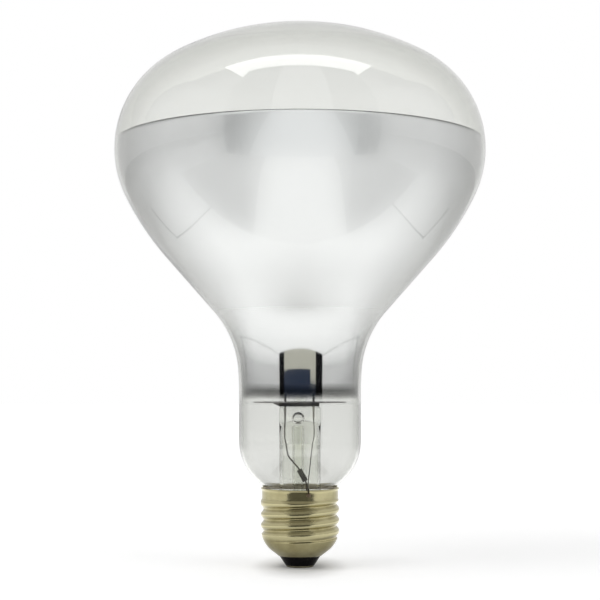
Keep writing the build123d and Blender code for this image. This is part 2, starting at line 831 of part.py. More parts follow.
with BuildPart() as centre_contact:
    with BuildSketch(Plane.XZ):
        with BuildLine():
            Polyline(
                (eyelet_bore_radius, contact_dish_depth),
                (contact_dish_radius, contact_dish_depth),
                (contact_dish_radius + contact_dish_depth, 0),
                (contact_radius - contact_dish_depth, 0),
                (contact_radius, contact_dish_depth),
                (contact_radius, contact_thickness),
                (eyelet_radius, contact_thickness),
                (eyelet_radius, insulator_floor_height),
                (eyelet_flange_radius, insulator_floor_height),
                (eyelet_flange_radius, insulator_floor_height + eyelet_flange_thickness),
                (eyelet_bore_radius, insulator_floor_height + eyelet_flange_thickness),
                (eyelet_bore_radius, contact_dish_depth),
            )
        make_face()
    revolve(axis=Axis.Z)

# Centre solder, which fills the foot of the eyelet and the dish round it

solder_edge = contact_dish_radius - solder_edge_gap

with BuildPart() as centre_solder:
    with BuildSketch(Plane.XZ):
        with BuildLine():
            Polyline(
                (0, 0),
                (solder_edge - solder_edge_width, solder_edge_rise),
                (solder_edge, contact_dish_depth),
                (eyelet_bore_radius, contact_dish_depth),
                (eyelet_bore_radius, contact_dish_depth + solder_depth),
                (0, contact_dish_depth + solder_depth),
                (0, 0),
            )
        make_face()
    revolve(axis=Axis.Z)
    with BuildSketch(Plane.XY.offset(centre_lead_end)):
        Circle(outer_lead_radius)
    extrude(amount=solder_depth, mode=Mode.SUBTRACT)

# One file for each piece

pieces = {
    "glass_envelope": glass_envelope,
    "reflector_film": reflector_film,
    "glass_stem": glass_stem,
    "exhaust_tube": exhaust_tube,
    "arbor_rod": arbor_rod,
    "filament": filament,
    "left_inner_lead": inner_leads["left"],
    "right_inner_lead": inner_leads["right"],
    "left_seal_wire": seal_wires["left"],
    "right_seal_wire": seal_wires["right"],
    "centre_lead": centre_lead,
    "side_lead": side_lead,
    "fuse_sleeve": fuse_sleeve,
    "side_weld": side_weld,
    "heat_shield": heat_shield,
    "shield_strap": shield_strap,
    "cap_shell": cap_shell,
    "capping_cement": capping_cement,
    "cap_insulator": cap_insulator,
    "centre_contact": centre_contact,
    "centre_solder": centre_solder,
}
for number, support_wire in enumerate(support_wires, start=1):
    pieces[f"support_wire_{number}"] = support_wire

for name, piece in pieces.items():
    piece.part.label = name
    export_step(piece.part, f"parts/{name}.step")
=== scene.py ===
import math
import bpy
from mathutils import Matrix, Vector


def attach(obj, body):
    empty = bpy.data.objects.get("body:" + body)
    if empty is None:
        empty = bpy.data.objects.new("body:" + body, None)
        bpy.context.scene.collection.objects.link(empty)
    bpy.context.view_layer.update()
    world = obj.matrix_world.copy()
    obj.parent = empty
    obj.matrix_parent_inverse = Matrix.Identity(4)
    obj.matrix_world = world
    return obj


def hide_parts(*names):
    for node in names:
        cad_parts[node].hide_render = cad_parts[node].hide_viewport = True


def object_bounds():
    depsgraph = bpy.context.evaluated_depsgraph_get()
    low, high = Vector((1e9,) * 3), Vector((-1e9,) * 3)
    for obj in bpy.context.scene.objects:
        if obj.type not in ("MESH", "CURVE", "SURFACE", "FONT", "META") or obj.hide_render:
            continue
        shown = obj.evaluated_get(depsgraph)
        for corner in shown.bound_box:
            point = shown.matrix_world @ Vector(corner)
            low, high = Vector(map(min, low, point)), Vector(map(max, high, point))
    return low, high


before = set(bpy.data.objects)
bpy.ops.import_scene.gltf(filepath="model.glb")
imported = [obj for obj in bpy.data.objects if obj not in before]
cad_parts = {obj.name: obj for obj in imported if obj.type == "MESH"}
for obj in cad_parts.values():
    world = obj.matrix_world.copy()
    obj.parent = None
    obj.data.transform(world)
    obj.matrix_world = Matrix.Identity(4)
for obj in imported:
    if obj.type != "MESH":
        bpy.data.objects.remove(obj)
cad_low, cad_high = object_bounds()

# Glass envelope
# A clear bulb blown in one piece: domed face, bowl, straight neck and the narrow tube that
# goes down inside the cap. Soda-lime glass, 0.9 mm thick, faintly rippled from the blowing.

glass_wall = 0.0009
bulb_radius = 0.06314
neck_radius = 0.02064
neck_length = 0.01398
seal_radius = 0.01096
seal_height = 0.0180
throat_height = 0.02455
throat_fillet = 0.0022
heel_radius = 0.01885
neck_sweep_radius = 0.1430
neck_sweep_turn = 3.86
waist_radius = 0.0337
flank_angle = 41.53
bowl_lower_radius = 0.0950
bowl_upper_radius = 0.0356
bowl_upper_turn = 26.12
shoulder_radius = 0.03508
face_radius = 0.0929
spin_steps = 192
film_low = 0.0545
neck_shade_high = 0.0600

heel_turn = math.degrees(math.acos(1 - (neck_radius - seal_radius) / (heel_radius + throat_fillet)))
waist_turn = flank_angle - neck_sweep_turn
bowl_lower_turn = flank_angle - bowl_upper_turn
shoulder_turn = math.degrees(
    math.acos((bulb_radius - shoulder_radius) / (face_radius - shoulder_radius))
)


def cosine(degrees):
    return math.cos(math.radians(degrees))


flank_reach = (
    bulb_radius
    - neck_radius
    - neck_sweep_radius * (1 - cosine(neck_sweep_turn))
    - waist_radius * (cosine(neck_sweep_turn) - cosine(flank_angle))
    - bowl_lower_radius * (cosine(bowl_upper_turn) - cosine(flank_angle))
    - bowl_upper_radius * (1 - cosine(bowl_upper_turn))
)
flank_length = flank_reach / math.sin(math.radians(flank_angle))


def bulb_strokes(inset):
    """Lines and arcs of the bulb's half section, from the seal up to the pole."""
    return [
        ("line", throat_height - seal_height, 2),
        ("arc", throat_fillet + inset, -heel_turn, 8),
        ("arc", heel_radius - inset, heel_turn, 16),
        ("line", neck_length, 6),
        ("arc", neck_sweep_radius + inset, -neck_sweep_turn, 6),
        ("arc", waist_radius + inset, -waist_turn, 20),
        ("line", flank_length, 4),
        ("arc", bowl_lower_radius - inset, bowl_lower_turn, 10),
        ("arc", bowl_upper_radius - inset, bowl_upper_turn, 14),
        ("arc", shoulder_radius - inset, shoulder_turn, 30),
        ("arc", face_radius - inset, 90 - shoulder_turn, 18),
    ]


def start_point(place):
    """Open a new mesh in edit mode that holds one selected point."""
    bpy.ops.object.select_all(action="DESELECT")
    bpy.ops.mesh.primitive_plane_add(size=0.001, location=(0, 0, 0))
    bpy.ops.object.mode_set(mode="EDIT")
    bpy.ops.mesh.select_mode(type="VERT")
    bpy.ops.mesh.merge(type="CENTER")
    bpy.ops.transform.translate(value=place)


def draw_strokes(strokes, heading):
    """Extrude the point along lines and arcs in the XZ plane; heading is in degrees from +X."""
    for kind, size, *turned, steps in strokes:
        turn = turned[0] / steps if kind == "arc" else 0.0
        run = 2 * size * math.sin(math.radians(abs(turn) / 2)) if kind == "arc" else size / steps
        for _ in range(steps):
            heading += turn / 2
            angle = math.radians(heading)
            step = (run * math.cos(angle), 0, run * math.sin(angle))
            bpy.ops.mesh.extrude_region_move(TRANSFORM_OT_translate={"value": step})
            heading += turn / 2


def spin_round(name, steps):
    """Spin the drawn half section about the axis, close it and leave edit mode."""
    bpy.ops.mesh.select_all(action="SELECT")
    bpy.ops.mesh.spin(steps=steps, angle=math.tau, center=(0, 0, 0), axis=(0, 0, 1))
    bpy.ops.mesh.select_all(action="SELECT")
    bpy.ops.mesh.remove_doubles(threshold=0.000002)
    bpy.ops.mesh.normals_make_consistent(inside=False)
    bpy.ops.object.mode_set(mode="OBJECT")
    piece = bpy.context.active_object
    piece.name = name
    piece.data.name = name
    bpy.ops.object.shade_smooth()
    return piece


def thicken(piece, thickness):
    """Give a spun skin its wall, inwards from the outer surface."""
    bpy.context.view_layer.objects.active = piece
    wall = piece.modifiers.new("wall", "SOLIDIFY")
    wall.thickness = thickness
    wall.offset = -1.0
    wall.use_even_offset = True
    bpy.ops.object.modifier_apply(modifier=wall.name)


def shader_node(tree, kind, sockets=None, **settings):
    """Add a shader node, with its settings and its sockets' own values."""
    made = tree.nodes.new("ShaderNode" + kind)
    for key, value in settings.items():
        setattr(made, key, value)
    for socket, value in (sockets or {}).items():
        made.inputs[socket].default_value = value
    return made


def new_material(name, sockets):
    """A material whose Principled shader holds the values that are the same all over."""
    material = bpy.data.materials.new(name)
    material.use_nodes = True
    tree = material.node_tree
    principled = tree.nodes["Principled BSDF"]
    for socket, value in sockets.items():
        principled.inputs[socket].default_value = value
    return material, tree, principled


def new_group(name, inputs, outputs):
    """An empty shader node group with float inputs and named outputs."""
    tree = bpy.data.node_groups.new(name, "ShaderNodeTree")
    for label, value in inputs.items():
        socket = tree.interface.new_socket(label, in_out="INPUT", socket_type="NodeSocketFloat")
        socket.default_value = value
    for label in outputs:
        tree.interface.new_socket(label, in_out="OUTPUT", socket_type="NodeSocketFloat")
    return tree, tree.nodes.new("NodeGroupInput"), tree.nodes.new("NodeGroupOutput")


def place_group(tree, group, values):
    """Place a node group in a material with its own values."""
    made = tree.nodes.new("ShaderNodeGroup")
    made.node_tree = group
    for socket, value in values.items():
        made.inputs[socket].default_value = value
    return made


def build_ripple_group():
    """Slow waves and fine haze of blown glass, in the piece's own coordinates."""
    tree, inputs, outputs = new_group(
        "glass_ripple", {"Wave Scale": 30.0, "Haze Scale": 400.0}, ["Wave", "Haze"]
    )
    place = shader_node(tree, "TexCoord")
    wave = shader_node(tree, "TexNoise", {"Detail": 2.0, "Roughness": 0.4})
    haze = shader_node(tree, "TexNoise", {"Detail": 5.0, "Roughness": 0.6})
    tree.links.new(place.outputs["Object"], wave.inputs["Vector"])
    tree.links.new(place.outputs["Object"], haze.inputs["Vector"])
    tree.links.new(inputs.outputs["Wave Scale"], wave.inputs["Scale"])
    tree.links.new(inputs.outputs["Haze Scale"], haze.inputs["Scale"])
    tree.links.new(wave.outputs["Fac"], outputs.inputs["Wave"])
    tree.links.new(haze.outputs["Fac"], outputs.inputs["Haze"])
    return tree


glass_ripple = build_ripple_group()


def map_range(tree, source, low, high, to_low, to_high):
    """Map a value from one range to another, held at its ends."""
    made = shader_node(
        tree,
        "MapRange",
        {"From Min": low, "From Max": high, "To Min": to_low, "To Max": to_high},
    )
    tree.links.new(source, made.inputs["Value"])
    return made.outputs["Result"]


def combine(tree, operation, first, second):
    """Add or multiply two values."""
    made = shader_node(tree, "Math", operation=operation)
    tree.links.new(first, made.inputs[0])
    tree.links.new(second, made.inputs[1])
    return made.outputs["Value"]


def scale_colour(tree, colour, share):
    """Scale a colour by a share."""
    made = shader_node(tree, "VectorMath", operation="SCALE")
    tree.links.new(colour, made.inputs["Vector"])
    tree.links.new(share, made.inputs["Scale"])
    return made.outputs["Vector"]


def own_height(tree):
    """Height in the piece's own coordinates."""
    place = shader_node(tree, "TexCoord")
    axes = shader_node(tree, "SeparateXYZ")
    tree.links.new(place.outputs["Object"], axes.inputs["Vector"])
    return axes.outputs["Z"]


def add_bump(tree, principled, height, strength, distance):
    """Feed a height to the shader's normal."""
    bump = shader_node(tree, "Bump", {"Strength": strength, "Distance": distance})
    tree.links.new(height, bump.inputs["Height"])
    tree.links.new(bump.outputs["Normal"], principled.inputs["Normal"])


def colour_between(tree, mask, low_colour, high_colour, low=0.35, high=0.65):
    """Blend two colours by a mask."""
    ramp = shader_node(tree, "ValToRGB")
    ramp.color_ramp.elements[0].position = low
    ramp.color_ramp.elements[0].color = (*low_colour, 1.0)
    ramp.color_ramp.elements[1].position = high
    ramp.color_ramp.elements[1].color = (*high_colour, 1.0)
    tree.links.new(mask, ramp.inputs["Fac"])
    return ramp.outputs["Color"]


def clear_glass_material(name, tint, edge_tint_and_shade, neck_shade, haze, wave_scale, wave_height):
    """Clear glass that lets light through, its tint deepened towards the outline (partly its own colour,
    partly painted shade), with painted shade in the lower neck.
    """
    material, tree, principled = new_material(
        name, {"Metallic": 0.0, "IOR": 1.5, "Transmission Weight": 1.0}
    )
    facing = shader_node(tree, "LayerWeight")
    # Facing deepens the tint towards the outline: partly the glass's own colour, partly painted shade.
    outline_tint_and_shade = colour_between(tree, facing.outputs["Facing"], tint, edge_tint_and_shade, 0.45, 0.95)
    # Below the film the glass colour is scaled down: painted shade in the lower neck.
    shade = map_range(tree, own_height(tree), film_low, neck_shade_high, neck_shade, 1.0)
    tree.links.new(scale_colour(tree, outline_tint_and_shade, shade), principled.inputs["Base Color"])
    ripple = place_group(tree, glass_ripple, {"Wave Scale": wave_scale, "Haze Scale": 350.0})
    roughness = map_range(tree, ripple.outputs["Haze"], 0.35, 0.7, 0.0, haze)
    tree.links.new(roughness, principled.inputs["Roughness"])
    add_bump(tree, principled, ripple.outputs["Wave"], 0.5, wave_height)
    path = shader_node(tree, "LightPath")
    clear = shader_node(tree, "BsdfTransparent")
    mix = shader_node(tree, "MixShader")
    tree.links.new(path.outputs["Is Shadow Ray"], mix.inputs["Fac"])
    tree.links.new(principled.outputs["BSDF"], mix.inputs[1])
    tree.links.new(clear.outputs["BSDF"], mix.inputs[2])
    tree.links.new(mix.outputs["Shader"], tree.nodes["Material Output"].inputs["Surface"])
    return material


def finish_piece(piece, material, node):
    """Give a new piece its material and slot, put it on the body and hide what it stands for."""
    piece.data.materials.clear()
    piece.data.materials.append(material)
    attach(piece, "root")
    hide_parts(node)


start_point((seal_radius, 0, seal_height))
draw_strokes(bulb_strokes(0.0), 90.0)
envelope = spin_round("blown_envelope", spin_steps)
thicken(envelope, glass_wall)
envelope_glass = clear_glass_material(
    "blown_clear_glass",
    tint=(0.900, 0.905, 0.885),
    edge_tint_and_shade=(0.56, 0.57, 0.52),
    neck_shade=0.90,
    haze=0.015,
    wave_scale=28.0,
    wave_height=0.0002,
)
finish_piece(envelope, envelope_glass, "glass_envelope")

# Reflector film
# Bright aluminium, evaporated onto the inside of the bowl and the upper neck. It is a clear
# mirror in the neck, softer over the bowl, and thins out to nothing at its lower edge. Its
# colour carries painted shade: darker towards the bottom, towards its outline and in a band
# just above the lower edge.

film_high = 0.1433
film_gap = 0.00006
film_thickness = 0.00006
film_edge_low = 0.0554
film_edge_high = 0.0634
film_edge_ragged = 0.0012
# Heights over which the film's painted shade fades out upwards.
film_painted_shade_low = 0.0630
film_painted_shade_high = 0.1050
film_soft_low = 0.070
film_soft_high = 0.096
film_rim_low = 0.1427
film_rim_high = 0.1431

start_point((seal_radius - glass_wall - film_gap, 0, seal_height))
draw_strokes(bulb_strokes(glass_wall + film_gap), 90.0)
film = spin_round("mirror_film", spin_steps)
bpy.ops.object.mode_set(mode="EDIT")
bpy.ops.mesh.select_all(action="SELECT")
bpy.ops.mesh.bisect(plane_co=(0, 0, film_low), plane_no=(0, 0, 1), clear_inner=True)
bpy.ops.mesh.select_all(action="SELECT")
bpy.ops.mesh.bisect(plane_co=(0, 0, film_high), plane_no=(0, 0, 1), clear_outer=True)
bpy.ops.object.mode_set(mode="OBJECT")
thicken(film, film_thickness)

film_metal, film_tree, film_shader = new_material(
    "evaporated_aluminium", {"Metallic": 1.0, "IOR": 1.5}
)
film_height = own_height(film_tree)
film_cloud = place_group(film_tree, glass_ripple, {"Wave Scale": 60.0, "Haze Scale": 900.0})
film_rough = map_range(film_tree, film_height, film_soft_low, film_soft_high, 0.06, 0.40)
film_tree.links.new(film_rough, film_shader.inputs["Roughness"])
film_ragged = shader_node(film_tree, "Math", operation="MULTIPLY_ADD")
film_ragged.inputs[1].default_value = film_edge_ragged
film_tree.links.new(film_cloud.outputs["Wave"], film_ragged.inputs[0])
film_tree.links.new(film_height, film_ragged.inputs[2])
film_edge = map_range(film_tree, film_ragged.outputs["Value"], film_edge_low, film_edge_high, 0.0, 1.0)
film_tint = shader_node(film_tree, "ValToRGB")
film_tint.color_ramp.elements[0].position = 0.25
film_tint.color_ramp.elements[0].color = (0.80, 0.80, 0.78, 1.0)
film_tint.color_ramp.elements[1].position = 0.85
film_tint.color_ramp.elements[1].color = (0.962, 0.968, 0.995, 1.0)
# Painted shade: a dark band in the film's colour just above its thin lower edge.
film_dark_band = film_tint.color_ramp.elements.new(0.55)
film_dark_band.color = (0.24, 0.245, 0.24, 1.0)
film_tree.links.new(film_edge, film_tint.inputs["Fac"])
# Painted shade: the film's colour darkens towards its outline as seen.
film_facing = shader_node(film_tree, "LayerWeight")
film_painted_outline_shade = map_range(film_tree, film_facing.outputs["Facing"], 0.33, 0.82, 1.0, 0.60)
# Painted shade: the film's colour is darker towards the bottom of the film.
film_painted_height_shade = map_range(film_tree, film_height, film_painted_shade_low, film_painted_shade_high, 0.66, 1.0)
film_rim = map_range(film_tree, film_height, film_rim_low, film_rim_high, 1.0, 0.35)
film_shade = combine(film_tree, "MULTIPLY", film_painted_outline_shade, film_painted_height_shade)
film_dim = combine(film_tree, "MULTIPLY", film_shade, film_rim)
film_shown = scale_colour(film_tree, film_tint.outputs["Color"], film_dim)
film_tree.links.new(film_shown, film_shader.inputs["Base Color"])
film_cover = map_range(film_tree, film_edge, 0.16, 0.56, 0.0, 1.0)
film_tree.links.new(film_cover, film_shader.inputs["Alpha"])
add_bump(film_tree, film_shader, film_cloud.outputs["Wave"], 0.3, 0.00015)
finish_piece(film, film_metal, "reflector_film")

# Stem, exhaust tube and arbor rod
# Lead-free tube glass drawn in a flame: the flared stem with its flat press, the thin exhaust
# tube tipped off below it, and the rod whose button carries the wire hooks.


def dress_nodes(material, *names):
    """Give carried-over pieces their finish."""
    for name in names:
        mesh = bpy.data.objects[name].data
        for index in range(len(mesh.materials)):
            mesh.materials[index] = material


stem_tube_glass = clear_glass_material(
    "stem_tube_glass",
    tint=(0.965, 0.972, 0.945),
    edge_tint_and_shade=(0.50, 0.51, 0.44),
    neck_shade=1.0,
    haze=0.02,
    wave_scale=90.0,
    wave_height=0.0002,
)
dress_nodes(stem_tube_glass, "glass_stem", "exhaust_tube", "arbor_rod")

# Lead wires, fuse sleeve, seal wires and supports
# Nickel inner leads, copper-clad seal wires pinched in the press, dark copper outer leads with a
# woven sleeve over the fuse, and molybdenum hooks. Drawn wire is streaked along the draw.


def build_draw_group():
    """Fine streaks along the height and blotches of oxide."""
    tree, inputs, outputs = new_group(
        "draw_streaks", {"Streak Scale": 900.0, "Blotch Scale": 120.0}, ["Streak", "Blotch"]
    )
    place = shader_node(tree, "TexCoord")
    squeeze = shader_node(tree, "Mapping", {"Scale": (1.0, 1.0, 0.06)})
    streak = shader_node(tree, "TexNoise", {"Detail": 3.0, "Roughness": 0.6})
    blotch = shader_node(tree, "TexNoise", {"Detail": 4.0, "Roughness": 0.55})
    tree.links.new(place.outputs["Object"], squeeze.inputs["Vector"])
    tree.links.new(squeeze.outputs["Vector"], streak.inputs["Vector"])
    tree.links.new(place.outputs["Object"], blotch.inputs["Vector"])
    tree.links.new(inputs.outputs["Streak Scale"], streak.inputs["Scale"])
    tree.links.new(inputs.outputs["Blotch Scale"], blotch.inputs["Scale"])
    tree.links.new(streak.outputs["Fac"], outputs.inputs["Streak"])
    tree.links.new(blotch.outputs["Fac"], outputs.inputs["Blotch"])
    return tree


draw_streaks = build_draw_group()


def drawn_metal(name, clean, stained, smooth, rough):
    """Drawn or rolled metal with streaks and blotches of oxide."""
    material, tree, principled = new_material(name, {"Metallic": 1.0})
    streaks = place_group(tree, draw_streaks, {})
    colour = colour_between(tree, streaks.outputs["Blotch"], clean, stained)
    tree.links.new(colour, principled.inputs["Base Color"])
    roughness = map_range(tree, streaks.outputs["Streak"], 0.3, 0.7, smooth, rough)
    tree.links.new(roughness, principled.inputs["Roughness"])
    add_bump(tree, principled, streaks.outputs["Streak"], 0.2, 0.00003)
    return material


nickel = drawn_metal("drawn_nickel", (0.50, 0.48, 0.44), (0.36, 0.34, 0.31), 0.22, 0.40)
copper_clad = drawn_metal("borated_copper", (0.16, 0.085, 0.06), (0.08, 0.045, 0.035), 0.30, 0.45)
dark_copper = drawn_metal(
    "outer_lead_copper", (0.060, 0.046, 0.034), (0.025, 0.020, 0.015), 0.35, 0.5
)
molybdenum = drawn_metal("drawn_molybdenum", (0.40, 0.40, 0.41), (0.28, 0.28, 0.29), 0.25, 0.42)
woven_sleeve = drawn_metal(
    "fuse_sleeve_weave", (0.018, 0.015, 0.012), (0.008, 0.007, 0.006), 0.6, 0.8
)
support_wires = [name for name in sorted(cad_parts) if name.startswith("support_wire")]
dress_nodes(nickel, "left_inner_lead", "right_inner_lead")
dress_nodes(woven_sleeve, "fuse_sleeve")
dress_nodes(copper_clad, "left_seal_wire", "right_seal_wire")
dress_nodes(dark_copper, "centre_lead", "side_lead")
dress_nodes(molybdenum, *support_wires)

# Filament
# Fine tungsten wire wound to a close coil, which hangs in an arc from hook to hook and is
# clamped in the bent ends of the two nickel leads.

filament_ring_radius = 0.0140
filament_height = 0.1120
filament_start = -60.0
filament_span = 300.0
coil_radius = 0.00052
coil_wire_radius = 0.00008
coil_turns = 170
coil_points_per_turn = 10


def coil_point(share):
    """Centre of the coiled wire at a share of the filament's length."""
    around = math.radians(filament_start + filament_span * share)
    wind = math.tau * coil_turns * share
    outward = Vector((math.cos(around), math.sin(around), 0))
    ring = outward * filament_ring_radius + Vector((0, 0, filament_height))
    return ring + outward * coil_radius * math.cos(wind) + Vector((0, 0, coil_radius * math.sin(wind)))


coil_curve = bpy.data.curves.new("wound_filament", "CURVE")
coil_curve.dimensions = "3D"
coil_curve.bevel_depth = coil_wire_radius
coil_curve.bevel_resolution = 1
coil_curve.use_fill_caps = True
coil_line = coil_curve.splines.new("POLY")
coil_count = coil_turns * coil_points_per_turn
coil_line.points.add(coil_count)
for index in range(coil_count + 1):
    coil_line.points[index].co = (*coil_point(index / coil_count), 1.0)
coil = bpy.data.objects.new("wound_filament", coil_curve)
bpy.context.collection.objects.link(coil)
bpy.ops.object.select_all(action="DESELECT")
coil.select_set(True)
bpy.context.view_layer.objects.active = coil
bpy.ops.object.convert(target="MESH")
coil = bpy.context.active_object
bpy.ops.object.shade_smooth()
tungsten = drawn_metal("recrystallised_tungsten", (0.30, 0.30, 0.31), (0.18, 0.18, 0.19), 0.30, 0.45)
finish_piece(coil, tungsten, "filament")

# Heat shield and strap
# A thin disc punched from nickel-plated iron sheet keeps the heat of the bowl out of the neck.
# It lies on a folded strap of nickel strip that is clinched to the left lead.

shield_sheet = drawn_metal("plated_shield", (0.34, 0.33, 0.31), (0.20, 0.19, 0.18), 0.25, 0.45)
strap_strip = drawn_metal("strap_nickel", (0.16, 0.155, 0.15), (0.06, 0.058, 0.055), 0.28, 0.45)
dress_nodes(shield_sheet, "heat_shield")
dress_nodes(strap_strip, "shield_strap")

# Screw cap
# One sheet of bare brass, 0.25 mm thick, drawn to a cup and rolled between dies with
# the round right-hand thread. The rim is belled, and the crests are polished by use.

cap_wall = 0.00025
rim_height = 0.02655
lip_bell_radius = 0.0014
lip_bell_turn = 50.0
skirt_radius = 0.0126
skirt_length = 0.0024
cap_shoulder_radius = 0.0010
thread_crest_radius = 0.0130
thread_root_radius = 0.0121
thread_pitch = 0.003629
thread_arc_radius = 0.001025
thread_turns = 4
thread_run_out = 0.25
thread_start_height = 0.00657
cap_hole_radius = 0.0071
cap_hole_height = 0.00387
cap_cone_angle = 37.0
cap_bottom_radius = 0.0090
cap_row = 0.00012
cap_spin_steps = 160

lip_height = rim_height - (lip_bell_radius + cap_wall) * math.sin(math.radians(lip_bell_turn))
cap_step = thread_crest_radius - skirt_radius
cap_shoulder_turn = math.degrees(math.acos(1 - cap_step / (2 * cap_shoulder_radius)))
cap_shoulder_rise = 2 * cap_shoulder_radius * math.sin(math.radians(cap_shoulder_turn))
cone_sine = math.sin(math.radians(cap_cone_angle))
cone_length = (
    thread_crest_radius - cap_bottom_radius * (1 - cone_sine) - cap_hole_radius
) / cosine(cap_cone_angle)
barrel_low = cap_hole_height + cone_length * cone_sine + cap_bottom_radius * cosine(cap_cone_angle)
barrel_length = lip_height - skirt_length - cap_shoulder_rise - barrel_low
thread_depth = thread_crest_radius - thread_root_radius
half_pitch = thread_pitch / 2
arc_drop = 2 * thread_arc_radius - thread_depth
thread_flank = math.asin(2 * thread_arc_radius / math.hypot(half_pitch, arc_drop)) - math.atan2(
    arc_drop, half_pitch
)


def groove_rise(across):
    """Height of the rolled groove's profile above its root, at a distance from its middle."""
    across = abs(across)
    arc_width = thread_arc_radius * math.sin(thread_flank)
    if across <= arc_width:
        return thread_arc_radius - math.sqrt(thread_arc_radius**2 - across**2)
    if across >= half_pitch - arc_width:
        from_crest = half_pitch - across
        return thread_depth - thread_arc_radius + math.sqrt(thread_arc_radius**2 - from_crest**2)
    arc_rise = thread_arc_radius * (1 - math.cos(thread_flank))
    return arc_rise + (across - arc_width) * math.tan(thread_flank)


def rolled_radius(radius, around, height):
    """Radius of the sheet at an angle and a height once the thread is rolled in."""
    share = around / math.tau
    climb = (height - thread_start_height) / thread_pitch - share
    turn = round(climb)
    along = turn + share
    if along < 0 or along > thread_turns + thread_run_out:
        return radius
    fade = max(0.0, along - thread_turns) / thread_run_out * thread_depth
    return min(radius, thread_root_radius + groove_rise((climb - turn) * thread_pitch) + fade)


cap_bottom_arc = cap_bottom_radius * math.radians(90 - cap_cone_angle)
start_point((cap_hole_radius, 0, cap_hole_height))
draw_strokes(
    [
        ("line", cone_length, 6),
        ("arc", cap_bottom_radius, 90 - cap_cone_angle, round(cap_bottom_arc / cap_row)),
        ("line", barrel_length, round(barrel_length / cap_row)),
        ("arc", cap_shoulder_radius, cap_shoulder_turn, 8),
        ("arc", cap_shoulder_radius, -cap_shoulder_turn, 8),
        ("line", skirt_length, 4),
        ("arc", lip_bell_radius, -lip_bell_turn, 10),
    ],
    cap_cone_angle,
)
cap = spin_round("rolled_screw_shell", cap_spin_steps)
for vertex in cap.data.vertices:
    flat = math.hypot(vertex.co.x, vertex.co.y)
    around = math.atan2(vertex.co.y, vertex.co.x) % math.tau
    share = rolled_radius(flat, around, vertex.co.z) / flat
    vertex.co.x *= share
    vertex.co.y *= share
thicken(cap, cap_wall)


def build_polish_group():
    """Turned lines, tarnish and pits of rolled brass, and the wear of its crests."""
    tree, inputs, outputs = new_group(
        "rolled_brass_marks",
        {"Worn From": 0.0126, "Worn At": 0.0130},
        ["Lines", "Tarnish", "Pits", "Crest"],
    )
    place = shader_node(tree, "TexCoord")
    squeeze = shader_node(tree, "Mapping", {"Scale": (0.12, 0.12, 1.0)})
    lines = shader_node(tree, "TexNoise", {"Scale": 1800.0, "Detail": 3.0})
    tarnish = shader_node(tree, "TexNoise", {"Scale": 130.0, "Detail": 5.0, "Roughness": 0.6})
    pits = shader_node(tree, "TexVoronoi", {"Scale": 320.0})
    axes = shader_node(tree, "SeparateXYZ")
    square_x = shader_node(tree, "Math", operation="MULTIPLY")
    square_y = shader_node(tree, "Math", operation="MULTIPLY_ADD")
    radius = shader_node(tree, "Math", operation="SQRT")
    crest = shader_node(tree, "MapRange")
    tree.links.new(place.outputs["Object"], squeeze.inputs["Vector"])
    tree.links.new(squeeze.outputs["Vector"], lines.inputs["Vector"])
    for texture in (tarnish, pits):
        tree.links.new(place.outputs["Object"], texture.inputs["Vector"])
    tree.links.new(place.outputs["Object"], axes.inputs["Vector"])
    for slot in (0, 1):
        tree.links.new(axes.outputs["X"], square_x.inputs[slot])
        tree.links.new(axes.outputs["Y"], square_y.inputs[slot])
    tree.links.new(square_x.outputs["Value"], square_y.inputs[2])
    tree.links.new(square_y.outputs["Value"], radius.inputs[0])
    tree.links.new(radius.outputs["Value"], crest.inputs["Value"])
    tree.links.new(inputs.outputs["Worn From"], crest.inputs["From Min"])
    tree.links.new(inputs.outputs["Worn At"], crest.inputs["From Max"])
    tree.links.new(lines.outputs["Fac"], outputs.inputs["Lines"])
    tree.links.new(tarnish.outputs["Fac"], outputs.inputs["Tarnish"])
    tree.links.new(pits.outputs["Distance"], outputs.inputs["Pits"])
    tree.links.new(crest.outputs["Result"], outputs.inputs["Crest"])
    return tree


rolled_brass_marks = build_polish_group()


def brass_material(name, bright, dull):
    """Brass with turned lines, tarnish in the roots and polished crests."""
    material, tree, principled = new_material(name, {"Metallic": 1.0})
    marks = place_group(tree, rolled_brass_marks, {})
    worn = shader_node(tree, "Math", operation="MULTIPLY_ADD", use_clamp=True)
    worn.inputs[1].default_value = 0.35
    tree.links.new(marks.outputs["Crest"], worn.inputs[0])
    tree.links.new(marks.outputs["Tarnish"], worn.inputs[2])
    colour = colour_between(tree, worn.outputs["Value"], dull, bright, 0.3, 0.75)
    tree.links.new(colour, principled.inputs["Base Color"])
    roughness = map_range(tree, marks.outputs["Tarnish"], 0.3, 0.7, 0.24, 0.14)
    tree.links.new(roughness, principled.inputs["Roughness"])
    add_bump(tree, principled, marks.outputs["Lines"], 0.15, 0.00003)
    return material


brass = brass_material("rolled_brass", (0.47, 0.43, 0.25), (0.27, 0.235, 0.115))
finish_piece(cap, brass, "cap_shell")

# Capping cement
# A ring of baked phenolic and marble cement that fixes the neck tube in the skirt. It is dull
# and grainy, and paler where the filler comes to the surface.

cement, cement_tree, cement_shader = new_material("baked_cement", {"Roughness": 0.85})
cement_grain = place_group(cement_tree, glass_ripple, {"Wave Scale": 500.0, "Haze Scale": 2500.0})
cement_colour = colour_between(
    cement_tree, cement_grain.outputs["Wave"], (0.44, 0.38, 0.28), (0.60, 0.54, 0.43)
)
cement_tree.links.new(cement_colour, cement_shader.inputs["Base Color"])
add_bump(cement_tree, cement_shader, cement_grain.outputs["Haze"], 0.6, 0.0001)
dress_nodes(cement, "capping_cement")

# Insulator
# Black glass run hot into the foot of the cap round the eyelet. Its skin is fire-polished,
# with a faint orange-peel wave.

